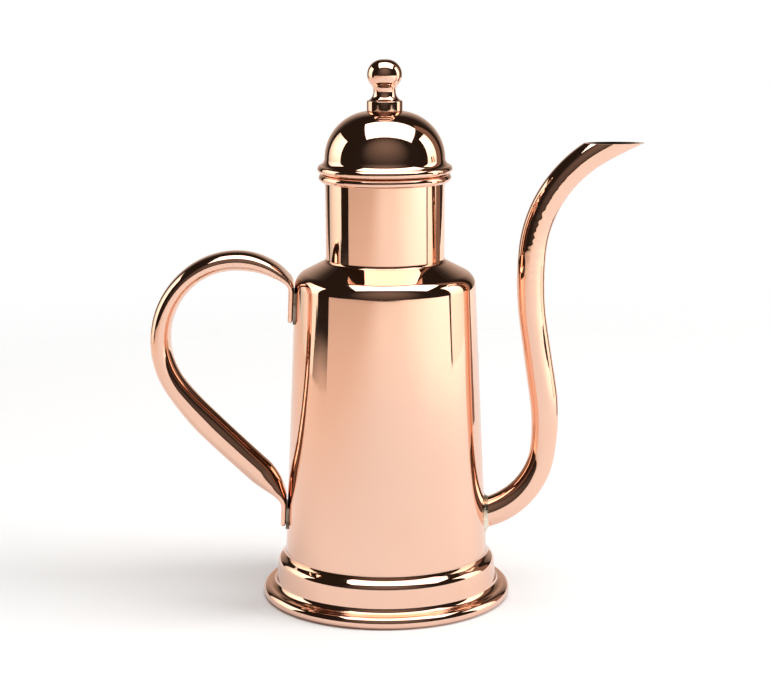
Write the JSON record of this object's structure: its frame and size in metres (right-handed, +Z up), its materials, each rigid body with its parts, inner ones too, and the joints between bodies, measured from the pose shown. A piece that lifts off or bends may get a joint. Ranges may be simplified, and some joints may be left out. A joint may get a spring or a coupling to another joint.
{
  "type": "copper coffee pourer with lid",
  "caption": "Tall polished copper pourer: tapered body on a stepped foot, domed lift-off lid with ball knob, hollow loop handle and long swan-neck spout.",
  "frame": {"origin": "on the pot's axis, in the plane that the foot stands on", "axes": "+Z up along the pot's axis, +X towards the spout, -X towards the handle"},
  "size_m": [0.2165, 0.1106, 0.2386],
  "materials": {
    "copper": "mirror-polished copper",
    "copper_wire": "drawn copper wire",
    "copper_braze": "copper braze, polished flush",
    "silver_solder": "silver solder, wiped",
    "brass": "turned brass"
  },
  "bodies": {
    "pot": {"body_shell": "copper", "neck_tube": "copper", "mouth_wire": "copper_wire", "neck_solder": "copper_braze", "bottom_plate": "copper", "bottom_solder": "silver_solder", "foot_ring": "copper", "foot_wire": "copper_wire", "foot_solder": "copper_braze", "spout_tube": "copper", "spout_solder": "silver_solder", "handle_tube": "copper", "handle_solder_top": "silver_solder", "handle_solder_low": "silver_solder"},
    "lid": {"lid_dome": "copper", "lid_wire": "copper_wire", "lid_collar": "copper", "lid_solder": "silver_solder", "knob": "copper", "knob_washer": "brass", "knob_screw": "brass"}
  },
  "joints": [
    {"name": "lid_lift", "type": "slide", "parent": "pot", "child": "lid", "axis": [0, 0, 1], "range_m": [0, 0.08]}
  ]
}
